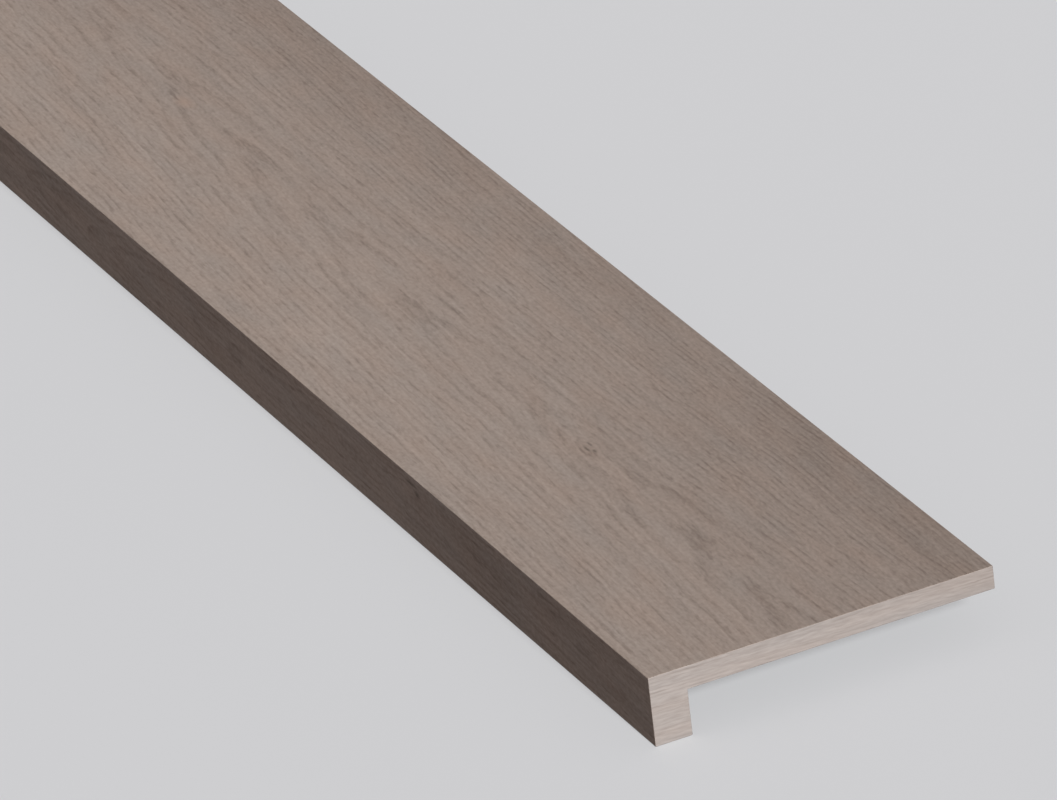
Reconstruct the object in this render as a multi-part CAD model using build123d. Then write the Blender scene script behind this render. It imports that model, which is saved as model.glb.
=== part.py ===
from build123d import *
import os

# A straight stair tread with a square drop front, in millimetres.
# X runs along the tread, Y from the nosing to the back edge, Z up.
# The origin is at the centre of the overall box, on the plane of the lip's bottom edge.

# Driving dimensions
TREAD_LENGTH = 1500.0
TREAD_DEPTH = 300.0
BOARD_THICKNESS = 20.0
NOSING_HEIGHT = 60.0
LIP_THICKNESS = 32.0
ARRIS_RADIUS = 0.6

# Places worked out from the driving dimensions
FRONT_Y = -TREAD_DEPTH / 2
BACK_Y = TREAD_DEPTH / 2
LIP_BACK_Y = FRONT_Y + LIP_THICKNESS
LIP_BOTTOM_Z = 0.0
TOP_Z = LIP_BOTTOM_Z + NOSING_HEIGHT
UNDERSIDE_Z = TOP_Z - BOARD_THICKNESS


def tread_section():
    """The square-edged section: a flat board with a lip hanging from its front edge."""
    corners = [
        (FRONT_Y, TOP_Z),
        (FRONT_Y, LIP_BOTTOM_Z),
        (LIP_BACK_Y, LIP_BOTTOM_Z),
        (LIP_BACK_Y, UNDERSIDE_Z),
        (BACK_Y, UNDERSIDE_Z),
        (BACK_Y, TOP_Z),
    ]
    return Plane.YZ * make_face(Polyline(*corners, close=True).edges())


def is_inner_corner(edge):
    """True for the one edge where the board's underside meets the back of the lip."""
    middle = edge.center()
    return abs(middle.Y - LIP_BACK_Y) < ARRIS_RADIUS and abs(middle.Z - UNDERSIDE_Z) < ARRIS_RADIUS


def ease_arrises(blank):
    """Sands every outside edge to a small round and leaves the inner corner sharp."""
    outside_edges = [edge for edge in blank.edges() if not is_inner_corner(edge)]
    return fillet(outside_edges, ARRIS_RADIUS)


def stair_tread():
    blank = extrude(tread_section(), TREAD_LENGTH / 2, both=True)
    return ease_arrises(blank)


os.makedirs("parts", exist_ok=True)
export_step(stair_tread(), "parts/stair_tread.step")
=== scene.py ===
import math
from typing import NamedTuple

import bpy
from mathutils import Matrix, Vector


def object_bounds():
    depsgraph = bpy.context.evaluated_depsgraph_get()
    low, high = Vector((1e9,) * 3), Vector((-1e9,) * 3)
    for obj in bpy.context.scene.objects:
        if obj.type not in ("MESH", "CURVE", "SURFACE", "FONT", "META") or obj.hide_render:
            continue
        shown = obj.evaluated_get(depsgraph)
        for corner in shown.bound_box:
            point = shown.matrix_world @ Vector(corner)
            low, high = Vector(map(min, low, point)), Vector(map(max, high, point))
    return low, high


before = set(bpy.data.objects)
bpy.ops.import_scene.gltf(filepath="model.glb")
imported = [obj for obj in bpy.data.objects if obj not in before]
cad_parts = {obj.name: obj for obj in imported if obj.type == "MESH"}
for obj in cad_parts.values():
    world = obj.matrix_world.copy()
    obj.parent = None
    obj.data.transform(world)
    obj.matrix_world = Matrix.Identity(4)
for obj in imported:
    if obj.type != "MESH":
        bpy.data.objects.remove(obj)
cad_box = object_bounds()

# A stair tread of grey-brown oak: a flat board with a square lip along its front edge.
# Places in the wood are in millimetres: from the right end, from the front face, and down from the top.


class Streaks(NamedTuple):
    """Noise drawn out along the grain, with the usual length and width of a streak in millimetres.
    Detail is how many finer layers lie over it, and roughness how strong they are.
    The shift keeps one pattern from following another."""
    length: float
    width: float
    detail: float = 2.0
    roughness: float = 0.5
    shift: float = 0.0


class Ramp(NamedTuple):
    """A number that goes from the first to the last while another goes from the start to the end."""
    start: float
    end: float
    first: float = 0.0
    last: float = 1.0
    smooth: bool = False


class ByFace(NamedTuple):
    """One number for the front face, one for the ends and one for all the other faces."""
    front: float
    ends: float
    others: float


MILLIMETRES_PER_METRE = 1000.0

# Camera, a long lens that looks down on the right end from the front
CAMERA_TARGET = Vector((0.26556, -0.01491, 0.06))
CAMERA_DISTANCE = 9.2222
CAMERA_AZIMUTH = math.radians(66.954)
CAMERA_ELEVATION = math.radians(26.459)
CAMERA_ROLL = math.radians(-6.821)
CAMERA_LENS = 391.12
SENSOR_WIDTH = 36.0

# Light on the faces, as shares of what a plain white surface needs to look white
KEY_ON_TOP = 0.62
KEY_ON_RIGHT = 1.10
KEY_ON_FRONT = 0.059
FILL_ON_LEFT = 0.30
FILL_ON_BACK = 0.24

# How wide each lamp is in the sky, which softens its shadows
KEY_SPREAD = math.radians(12.0)
FILL_SPREAD = math.radians(20.0)

# Surroundings: what lights the object, what is seen behind it, and how much of the seen floor glows
SKY_LIGHT = (0.204, 0.184, 0.186, 1.0)
FLOOR_BOUNCE = (0.153, 0.135, 0.137, 1.0)
BACKGROUND = (0.617, 0.617, 0.631, 1.0)
FLOOR_COLOUR = (0.745, 0.762, 0.778, 1.0)
FLOOR_GLOW = 0.45
FLOOR_SIZE = 400.0
FLOOR_DROP = 0.0001

# A face counts as an end or as upright where its normal points that way by more than this
FACING_LIMIT = 0.7
# Between these distances behind the front, the front face's numbers give way to the other faces'
FRONT_FACE_EDGE = (0.2, 0.6)

# Fibres: how far they move aside for each millimetre along, and how they waver
SLANT_ON_TOP = 0.043
SLANT_ON_FRONT = -0.055
SLANT_ON_ENDS = 0.03
WAVER = Streaks(18.0, 9.0, detail=1.0, shift=61.0)
WAVER_SIZE = 0.42
WAVER_SHARE_ON_ENDS = 0.86

# On the ends the grain is longer and finer, and is read far from the other faces' to be unlike theirs
END_GRAIN_STRETCH = 0.4
END_GRAIN_FINENESS = 1.35
END_GRAIN_SHIFT_ALONG = 3000.0
END_GRAIN_SHIFT_DOWN = 290.0

# Growth rings: tips of the arches from the left end to the right, as distances from the right end
ARCH_TIPS = (1720, 1560, 1396, 1264, 1075, 905, 722, 504, 350, 208, 76, -80)
# The heart line runs under the top and drifts to the back on the left
HEART_ACROSS = 135.0
HEART_DRIFT = Ramp(700.0, 1300.0, 0.0, 25.0, smooth=True)
HEART_DEPTH = 65.0
DEPTH_STRETCH = 2.5
# Width of a ring, from the front side of the heart line to the back side
RING_WIDTH = Ramp(-40.0, 40.0, 5.6, 4.3, smooth=True)
# The rings wander aside in long bends and short ones, by these distances, and waver by a share of a ring
LONG_BENDS = Streaks(320.0, 90.0, detail=1.0)
LONG_BEND_SIZE = 4.0
SHORT_BENDS = Streaks(60.0, 12.0, detail=1.0, shift=7.0)
SHORT_BEND_SIZE = 1.1
RING_WAVER = Streaks(40.0, 7.0, shift=11.0)
RING_WAVER_SIZE = 0.14

# Early wood: where in a ring it begins and fades, and how it comes and goes along the ring
EARLY_WOOD_BEGINS = Ramp(0.88, 1.0, smooth=True)
EARLY_WOOD_FADES = Ramp(0.05, 0.50, 1.0, 0.0, smooth=True)
EARLY_WOOD_PATCHES = Streaks(80.0, 13.0, shift=41.0)
EARLY_WOOD_LEVEL = Ramp(0.36, 0.60, 0.15, 1.0)

# Pores: dashes that show above a level of the noise, which early wood raises, and fine pores within them
PORE_DASHES = Streaks(15.0, 3.2, detail=3.0, shift=17.0)
PORE_LEVEL = Ramp(0.54, 0.82)
PORES_IN_EARLY_WOOD = 0.12
FINE_PORES = Streaks(6.0, 0.34, detail=1.0, shift=23.0)
FINE_PORE_LEVEL = Ramp(0.38, 0.62, 0.75, 1.25)
PORES_ON_ENDS = 0.5

# Dark marks where pores crowd: place in the wood, reach each way, and how much they raise the noise
CROWDED = (
    ((1242.0, 156.0, 0.0), (34.0, 2.8, 9.0), 0.27),
    ((1230.0, 161.0, 0.0), (20.0, 2.2, 9.0), 0.24),
    ((1214.0, 150.5, 0.0), (26.0, 2.8, 9.0), 0.28),
    ((1201.0, 145.0, 0.0), (18.0, 3.0, 9.0), 0.31),
    ((1065.0, 148.0, 0.0), (26.0, 13.0, 9.0), 0.09),
    ((1001.0, 118.0, 0.0), (14.0, 3.0, 9.0), 0.22),
    ((966.0, 167.0, 0.0), (20.0, 3.6, 9.0), 0.18),
    ((700.0, 139.0, 0.0), (36.0, 5.0, 9.0), 0.15),
    ((440.0, 227.0, 0.0), (34.0, 3.4, 9.0), 0.16),
    ((368.0, 136.0, 0.0), (26.0, 10.0, 9.0), 0.06),
    ((240.0, 160.0, 0.0), (60.0, 4.6, 9.0), 0.09),
    ((152.0, 130.0, 0.0), (14.0, 5.0, 9.0), 0.20),
    ((132.0, 152.0, 0.0), (10.0, 3.6, 9.0), 0.24),
    ((60.0, 131.0, 0.0), (26.0, 5.0, 9.0), 0.17),
    ((788.0, 0.0, 8.0), (26.0, 9.0, 3.6), 0.24),
    ((184.0, 0.0, 8.6), (24.0, 9.0, 3.2), 0.18),
    ((167.0, 0.0, 16.0), (9.0, 9.0, 3.2), 0.24),
)

# Knots: place in the wood, and how many rings each pushes aside within its swirl's reach each way
KNOTS = (
    ((379.0, 137.0, 0.0), 1.5),
    ((415.0, 0.0, 13.0), 0.8),
)
KNOT_SWIRL = (75.0, 24.0, 24.0)

# Dark strokes in the knots: place in the wood and reach each way. Their edges are ragged.
KNOT_STROKES = (
    ((383.0, 140.0, 0.0), (7.0, 1.8, 3.0)),
    ((377.0, 134.5, 0.0), (10.0, 2.2, 3.0)),
    ((370.0, 138.0, 0.0), (5.0, 2.4, 3.0)),
    ((414.5, 0.0, 13.2), (9.0, 3.0, 4.4)),
    ((424.0, 0.0, 7.6), (14.0, 3.0, 2.4)),
)
KNOT_EDGES = Streaks(3.0, 1.2, shift=53.0)
KNOT_EDGE_LEVEL = Ramp(0.25, 0.55, 0.2, 1.0)

# Grain, as changes in the share of the pale colour
TOP_TONE = 0.475
END_TONE = 0.5
FIBRE = Streaks(5.0, 2.55, roughness=0.45)
FIBRE_STRENGTH = ByFace(front=0.135, ends=0.145, others=0.102)
LONG_FIBRE = Streaks(130.0, 4.1, shift=3.0)
LONG_FIBRE_STRENGTH = ByFace(front=0.16, ends=0.115, others=0.088)
CLOUD = Streaks(150.0, 36.0, shift=5.0)
CLOUD_STRENGTH = 0.035
EARLY_WOOD_STRENGTH = -0.088

# Slow changes of that share: across the top and the ends, along the tread, and down the front
FORE_TO_MIDDLE = Ramp(60.0, 180.0, 0.05, -0.015, smooth=True)
MIDDLE_TO_BACK = Ramp(190.0, 300.0, 0.0, -0.12, smooth=True)
RIGHT_TO_LEFT = Ramp(850.0, 1300.0, 0.0, -0.015, smooth=True)
TOP_TO_BOTTOM = Ramp(3.0, 60.0, -0.03, 0.03)
END_FORE_TO_BACK = Ramp(20.0, 300.0, 0.03, -0.09)
# Nearness to the right end, and how much painted shade darkens the top and the front there
SHADE_NEAR_RIGHT_END = Ramp(220.0, 580.0, 1.0, 0.0, smooth=True)
PAINTED_SHADE_ON_TOP = Ramp(30.0, 150.0, 0.04, 0.08, smooth=True)
PAINTED_SHADE_ON_FRONT = Ramp(0.5, 6.0, 0.0, 0.09)

# Tint: the share of the warm one over the cool one swings about its middle in soft patches
TINT_PATCHES = Streaks(70.0, 26.0, detail=1.0, shift=31.0)
TINT_MIDDLE = 0.5
TINT_SWING = 0.5

# The one rusty patch
RUST_PLACE = (1180.0, 147.0, 0.0)
RUST_REACH = (24.0, 11.0, 9.0)

# How far the rust, the pores and the knots cover the wood's colour
RUST_STRENGTH = 0.6
PORE_STRENGTH = 0.37
KNOT_STRENGTH = 0.7

# Gloss and relief. The relief's depth is in metres.
ROUGHNESS = 0.80
ROUGHNESS_OF_PORES = 0.10
ROUGHNESS_OF_FIBRE = 0.04
SPECULAR_LEVEL = 0.06
FIBRE_RELIEF = 0.25
RELIEF_STRENGTH = 0.35
RELIEF_DEPTH = 0.0002

# How far noise usually strays from its middle
NOISE_MIDDLE = 0.5
NOISE_SWING = 0.25

# Sockets of a mix node for each kind of value: the first one, the second one and the result
MIX_SOCKETS = {"FLOAT": (2, 3, 0), "VECTOR": (4, 5, 1), "RGBA": (6, 7, 2)}


def srgb(red, green, blue):
    """A colour given as it looks on screen, from 0 to 255, in the linear values that shaders use."""
    def linear(level):
        share = level / 255.0
        return share / 12.92 if share <= 0.04045 else ((share + 0.055) / 1.055) ** 2.4
    return (linear(red), linear(green), linear(blue), 1.0)


TOP_DARK = srgb(124, 111, 102)
TOP_PALE = srgb(196, 181, 170)
END_DARK = srgb(132, 123, 118)
END_PALE = srgb(191, 182, 176)
COOL_TINT = (0.979, 1.004, 1.020, 1.0)
WARM_TINT = (1.021, 0.996, 0.980, 1.0)
RUST = srgb(172, 149, 134)
PORE_COLOUR = srgb(104, 89, 80)
KNOT_COLOUR = srgb(80, 73, 64)


class Graph:
    """A node tree that starts empty, with one short method for each kind of node that the materials use."""

    def __init__(self, tree):
        self.tree = tree
        tree.nodes.clear()

    def feed(self, socket, value):
        """Link a socket to another node's output, or set it to a plain value."""
        if isinstance(value, bpy.types.NodeSocket):
            self.tree.links.new(value, socket)
        else:
            socket.default_value = value

    def node(self, kind, *values, **settings):
        """A new node with its settings, and with its first inputs fed in their order."""
        made = self.tree.nodes.new(kind)
        for name, value in settings.items():
            setattr(made, name, value)
        for socket, value in zip(made.inputs, values):
            self.feed(socket, value)
        return made

    def named(self, kind, inputs, **settings):
        """A new node with its settings, and with inputs fed by their names."""
        made = self.node(kind, **settings)
        for name, value in inputs.items():
            self.feed(made.inputs[name], value)
        return made

    def maths(self, operation, *values):
        return self.node("ShaderNodeMath", *values, operation=operation).outputs[0]

    def total(self, *values):
        result = values[0]
        for value in values[1:]:
            result = self.maths("ADD", result, value)
        return result

    def times(self, first, second):
        return self.maths("MULTIPLY", first, second)

    def minus(self, first, second):
        return self.maths("SUBTRACT", first, second)

    def vector(self, operation, *values):
        made = self.node("ShaderNodeVectorMath", *values, operation=operation)
        return made.outputs["Value" if operation == "LENGTH" else "Vector"]

    def split(self, vector):
        return tuple(self.node("ShaderNodeSeparateXYZ", vector).outputs)

    def join(self, first, second, third):
        return self.node("ShaderNodeCombineXYZ", first, second, third).outputs[0]

    def mix(self, kind, share, first, second, **settings):
        """A blend of two values of one kind: the first where the share is 0, the second where it is 1."""
        made = self.node("ShaderNodeMix", share, data_type=kind, **settings)
        first_socket, second_socket, result = MIX_SOCKETS[kind]
        self.feed(made.inputs[first_socket], first)
        self.feed(made.inputs[second_socket], second)
        return made.outputs[result]

    def ramp(self, value, ramp):
        limits = (ramp.start, ramp.end, ramp.first, ramp.last)
        kind = "SMOOTHSTEP" if ramp.smooth else "LINEAR"
        return self.node("ShaderNodeMapRange", value, *limits, interpolation_type=kind).outputs[0]

    def streaks(self, wood, kind):
        """Streaks as a number from 0 to 1."""
        shrunk = self.vector("MULTIPLY", wood, (1.0 / kind.length, 1.0 / kind.width, 1.0 / kind.width))
        moved = self.vector("ADD", shrunk, (kind.shift, 2.0 * kind.shift, -kind.shift))
        inputs = {"Vector": moved, "Scale": 1.0, "Detail": kind.detail, "Roughness": kind.roughness}
        return self.named("ShaderNodeTexNoise", inputs, noise_dimensions="3D").outputs[0]

    def swing(self, wood, kind, amount=1.0):
        """Streaks about zero, whose usual reach to each side is the given amount."""
        centred = self.minus(self.streaks(wood, kind), NOISE_MIDDLE)
        return self.times(centred, amount / NOISE_SWING)

    def show(self, shader, output="ShaderNodeOutputMaterial"):
        """Make the shader what the tree gives out."""
        self.named(output, {"Surface": shader.outputs[0]})


def new_material(name):
    material = bpy.data.materials.new(name)
    material.use_nodes = True
    return material, Graph(material.node_tree)


# Oak

class Spot(NamedTuple):
    """Where a point lies: in the board, along its fibres and in its rings, and whether it is on an end.
    The first number of each place is along the grain. On the ends the grain runs from front to back."""
    board: bpy.types.NodeSocket
    wood: bpy.types.NodeSocket
    rings: bpy.types.NodeSocket
    is_end: bpy.types.NodeSocket


def wood_spot(graph):
    at = graph.node("ShaderNodeTexCoord")
    facing = graph.split(at.outputs["Normal"])
    is_end, is_upright = [
        graph.maths("GREATER_THAN", graph.maths("ABSOLUTE", part), FACING_LIMIT) for part in facing[:2]
    ]
    low, high = cad_box
    from_corner = graph.vector("SUBTRACT", at.outputs["Object"], (high[0], low[1], high[2]))
    inward = (-MILLIMETRES_PER_METRE, MILLIMETRES_PER_METRE, -MILLIMETRES_PER_METRE)
    board = graph.vector("MULTIPLY", from_corner, inward)
    along, across, deep = graph.split(board)

    waver = graph.swing(board, WAVER, WAVER_SIZE)
    flat = graph.total(across, graph.times(along, -SLANT_ON_TOP), waver)
    upright = graph.total(deep, graph.times(along, -SLANT_ON_FRONT), waver)
    wood = graph.mix("VECTOR", is_upright, graph.join(along, flat, deep), graph.join(along, across, upright))
    rings = graph.join(along, graph.minus(across, graph.ramp(along, HEART_DRIFT)), deep)

    end_deep = graph.total(
        deep,
        graph.times(across, -SLANT_ON_ENDS),
        graph.times(waver, WAVER_SHARE_ON_ENDS),
    )
    end = graph.join(
        graph.total(graph.times(across, END_GRAIN_STRETCH), END_GRAIN_SHIFT_ALONG),
        graph.total(graph.times(end_deep, END_GRAIN_FINENESS), END_GRAIN_SHIFT_DOWN),
        along,
    )
    return Spot(
        board=board,
        wood=graph.mix("VECTOR", is_end, wood, end),
        rings=graph.mix("VECTOR", is_end, rings, end),
        is_end=is_end,
    )


def nearness(graph, place, centre, reach):
    """One at the centre, and falling smoothly to nothing at the reach each way."""
    offset = graph.vector("DIVIDE", graph.vector("SUBTRACT", place, centre), reach)
    return graph.ramp(graph.vector("LENGTH", offset), Ramp(0.0, 1.0, 1.0, 0.0, smooth=True))


def by_face(graph, spot, numbers):
    across = graph.split(spot.board)[1]
    long_faces = graph.ramp(across, Ramp(*FRONT_FACE_EDGE, numbers.front, numbers.others))
    return graph.mix("FLOAT", spot.is_end, long_faces, numbers.ends)


def arches_passed(graph, rings):
    """Rings counted along the heart line, so that each arch has its tip at its own place."""
    along = graph.split(rings)[0]
    steps = [graph.ramp(along, Ramp(far, near, smooth=True)) for far, near in zip(ARCH_TIPS, ARCH_TIPS[1:])]
    return graph.total(*steps)


def ring_phase(graph, rings):
    """How far a point is through its growth ring, from 0 where the ring starts to 1 where it ends."""
    across, deep = graph.split(rings)[1:]
    wander = graph.total(
        graph.swing(rings, LONG_BENDS, LONG_BEND_SIZE),
        graph.swing(rings, SHORT_BENDS, SHORT_BEND_SIZE),
    )
    aside = graph.total(across, -HEART_ACROSS, wander)
    below = graph.total(HEART_DEPTH, graph.times(deep, -DEPTH_STRETCH))
    radius = graph.maths("SQRT", graph.total(graph.times(aside, aside), graph.times(below, below)))
    rings_out = graph.maths("DIVIDE", graph.minus(radius, HEART_DEPTH), graph.ramp(aside, RING_WIDTH))
    pushed = [graph.times(nearness(graph, rings, knot, KNOT_SWIRL), push) for knot, push in KNOTS]
    count = graph.total(
        graph.minus(arches_passed(graph, rings), rings_out),
        graph.swing(rings, RING_WAVER, RING_WAVER_SIZE),
        *pushed,
    )
    return graph.maths("FRACT", count)


def early_wood(graph, spot):
    """The open-pored start of each ring: it begins sharply, fades out, and comes and goes along the ring."""
    phase = ring_phase(graph, spot.rings)
    strongest = graph.maths(
        "MAXIMUM",
        graph.ramp(phase, EARLY_WOOD_BEGINS),
        graph.ramp(phase, EARLY_WOOD_FADES),
    )
    patches = graph.streaks(spot.wood, EARLY_WOOD_PATCHES)
    return graph.times(strongest, graph.ramp(patches, EARLY_WOOD_LEVEL))


def pore_cover(graph, spot, early):
    """How much of a spot is open pores. They lie in long dashes, each of them a bundle of finer ones."""
    crowds = [graph.times(nearness(graph, spot.board, place, reach), dark) for place, reach, dark in CROWDED]
    dashes = graph.total(
        graph.streaks(spot.wood, PORE_DASHES),
        graph.times(early, PORES_IN_EARLY_WOOD),
        *crowds,
    )
    fine_pores = graph.ramp(graph.streaks(spot.wood, FINE_PORES), FINE_PORE_LEVEL)
    cover = graph.times(graph.ramp(dashes, PORE_LEVEL), fine_pores)
    return graph.times(cover, graph.mix("FLOAT", spot.is_end, 1.0, PORES_ON_ENDS))


def knot_strokes(graph, spot):
    """The dark strokes in the knots."""
    ragged = graph.ramp(graph.streaks(spot.wood, KNOT_EDGES), KNOT_EDGE_LEVEL)
    strokes = [nearness(graph, spot.board, place, reach) for place, reach in KNOT_STROKES]
    return graph.times(graph.total(*strokes), ragged)


def grain_tone(graph, spot, fibre, early):
    """Light and dark of the grain, about zero."""
    return graph.total(
        graph.times(fibre, by_face(graph, spot, FIBRE_STRENGTH)),
        graph.times(graph.swing(spot.wood, LONG_FIBRE), by_face(graph, spot, LONG_FIBRE_STRENGTH)),
        graph.times(graph.swing(spot.wood, CLOUD), CLOUD_STRENGTH),
        graph.times(early, EARLY_WOOD_STRENGTH),
    )


def tone_drift(graph, board):
    """The slow change over the long faces: darker to the back and to the left end, and painted shade near
    the right end.
    """
    along, across, deep = graph.split(board)
    drift = graph.total(
        graph.ramp(across, FORE_TO_MIDDLE),
        graph.ramp(across, MIDDLE_TO_BACK),
        graph.ramp(along, RIGHT_TO_LEFT),
        graph.ramp(deep, TOP_TO_BOTTOM),
    )
    # Painted shade: the top and the front are darkened towards the right end
    painted_shade = graph.total(graph.ramp(across, PAINTED_SHADE_ON_TOP), graph.ramp(deep, PAINTED_SHADE_ON_FRONT))
    return graph.minus(drift, graph.times(graph.ramp(along, SHADE_NEAR_RIGHT_END), painted_shade))


def oak_colour(graph, spot, grain, pores, strokes):
    """The wood's own colour with its tint, and over it the rusty patch, the pores and the knots."""
    across = graph.split(spot.board)[1]
    pale_on_top = graph.total(TOP_TONE, grain, tone_drift(graph, spot.board))
    pale_on_end = graph.total(END_TONE, grain, graph.ramp(across, END_FORE_TO_BACK))
    top = graph.mix("RGBA", pale_on_top, TOP_DARK, TOP_PALE)
    end = graph.mix("RGBA", pale_on_end, END_DARK, END_PALE)
    warmth = graph.total(TINT_MIDDLE, graph.swing(spot.wood, TINT_PATCHES, TINT_SWING))
    tint = graph.mix("RGBA", warmth, COOL_TINT, WARM_TINT)
    colour = graph.mix("RGBA", 1.0, graph.mix("RGBA", spot.is_end, top, end), tint, blend_type="MULTIPLY")
    covers = (
        (nearness(graph, spot.board, RUST_PLACE, RUST_REACH), RUST_STRENGTH, RUST),
        (pores, PORE_STRENGTH, PORE_COLOUR),
        (strokes, KNOT_STRENGTH, KNOT_COLOUR),
    )
    for cover, strength, cover_colour in covers:
        colour = graph.mix("RGBA", graph.times(cover, strength), colour, cover_colour)
    return colour


def oak_material():
    material, graph = new_material("oak")
    spot = wood_spot(graph)
    early = early_wood(graph, spot)
    pores = pore_cover(graph, spot, early)
    strokes = knot_strokes(graph, spot)
    fibre = graph.swing(spot.wood, FIBRE)
    grain = grain_tone(graph, spot, fibre, early)

    relief = graph.minus(graph.minus(graph.times(fibre, FIBRE_RELIEF), pores), strokes)
    bump = graph.named("ShaderNodeBump", {
        "Strength": RELIEF_STRENGTH,
        "Distance": RELIEF_DEPTH,
        "Height": relief,
    })
    roughness = graph.total(
        ROUGHNESS,
        graph.times(pores, ROUGHNESS_OF_PORES),
        graph.times(fibre, ROUGHNESS_OF_FIBRE),
    )
    graph.show(graph.named("ShaderNodeBsdfPrincipled", {
        "Base Color": oak_colour(graph, spot, grain, pores, strokes),
        "Roughness": roughness,
        "Specular IOR Level": SPECULAR_LEVEL,
        "Normal": bump.outputs[0],
    }))
    return material


# Floor, world, lights and camera

def seen_directly(graph):
    """One for what the camera sees straight, in a gloss or through glass.
    It is nothing for what lights the object."""
    rays = graph.node("ShaderNodeLightPath").outputs
    either = graph.maths("MAXIMUM", rays["Is Camera Ray"], rays["Is Glossy Ray"])
    return graph.maths("MAXIMUM", either, rays["Is Transmission Ray"])


def floor_material():
    """A pale floor. What is seen of it glows in part, which keeps the object's shadow faint."""
    material, graph = new_material("pale_floor")
    seen = seen_directly(graph)
    colour = graph.mix("RGBA", seen, FLOOR_BOUNCE, FLOOR_COLOUR)
    matt = graph.named("ShaderNodeBsdfDiffuse", {"Color": colour})
    glow = graph.named("ShaderNodeEmission", {"Color": BACKGROUND})
    glow_share = graph.times(seen, FLOOR_GLOW)
    graph.show(graph.node("ShaderNodeMixShader", glow_share, matt.outputs[0], glow.outputs[0]))
    return material


def make_floor():
    half = FLOOR_SIZE / 2
    corners = [(-half, -half, 0.0), (half, -half, 0.0), (half, half, 0.0), (-half, half, 0.0)]
    mesh = bpy.data.meshes.new("floor")
    mesh.from_pydata(corners, [], [(0, 1, 2, 3)])
    floor = bpy.data.objects.new("floor", mesh)
    floor.location.z = cad_box[0][2] - FLOOR_DROP
    floor.data.materials.append(floor_material())
    bpy.context.scene.collection.objects.link(floor)


def make_world():
    """Soft light from all round, and the background's own colour where the world is seen."""
    world = bpy.data.worlds.new("studio")
    world.use_nodes = True
    graph = Graph(world.node_tree)
    sky = graph.mix("RGBA", seen_directly(graph), SKY_LIGHT, BACKGROUND)
    graph.show(graph.named("ShaderNodeBackground", {"Color": sky}), "ShaderNodeOutputWorld")
    bpy.context.scene.world = world


def make_sun(name, shares, spread):
    """A soft sun. Its shares on faces that look along X, Y and Z give its direction and strength."""
    shares = Vector(shares)
    lamp = bpy.data.lights.new(name, "SUN")
    lamp.energy = math.pi * shares.length
    lamp.angle = spread
    sun = bpy.data.objects.new(name, lamp)
    sun.rotation_euler = shares.to_track_quat("Z", "Y").to_euler()
    bpy.context.scene.collection.objects.link(sun)


def make_lights():
    """The key lights the right end, the top and a little of the front.
    A level fill lights the left end and the back edge."""
    make_sun("key", (KEY_ON_RIGHT, -KEY_ON_FRONT, KEY_ON_TOP), KEY_SPREAD)
    make_sun("fill", (-FILL_ON_LEFT, FILL_ON_BACK, 0.0), FILL_SPREAD)


def make_camera():
    level = math.cos(CAMERA_ELEVATION)
    towards = Vector((
        math.sin(CAMERA_AZIMUTH) * level,
        -math.cos(CAMERA_AZIMUTH) * level,
        math.sin(CAMERA_ELEVATION),
    ))
    turn = towards.to_track_quat("Z", "Y").to_matrix().to_4x4() @ Matrix.Rotation(CAMERA_ROLL, 4, "Z")
    data = bpy.data.cameras.new("camera")
    data.lens = CAMERA_LENS
    data.sensor_width = SENSOR_WIDTH
    camera = bpy.data.objects.new("camera", data)
    camera.matrix_world = Matrix.Translation(CAMERA_TARGET + CAMERA_DISTANCE * towards) @ turn
    bpy.context.scene.collection.objects.link(camera)
    bpy.context.scene.camera = camera


oak = oak_material()
for slot in bpy.data.objects["stair_tread"].material_slots:
    slot.material = oak
make_floor()
make_world()
make_lights()
make_camera()
bpy.context.scene.view_settings.view_transform = "Standard"
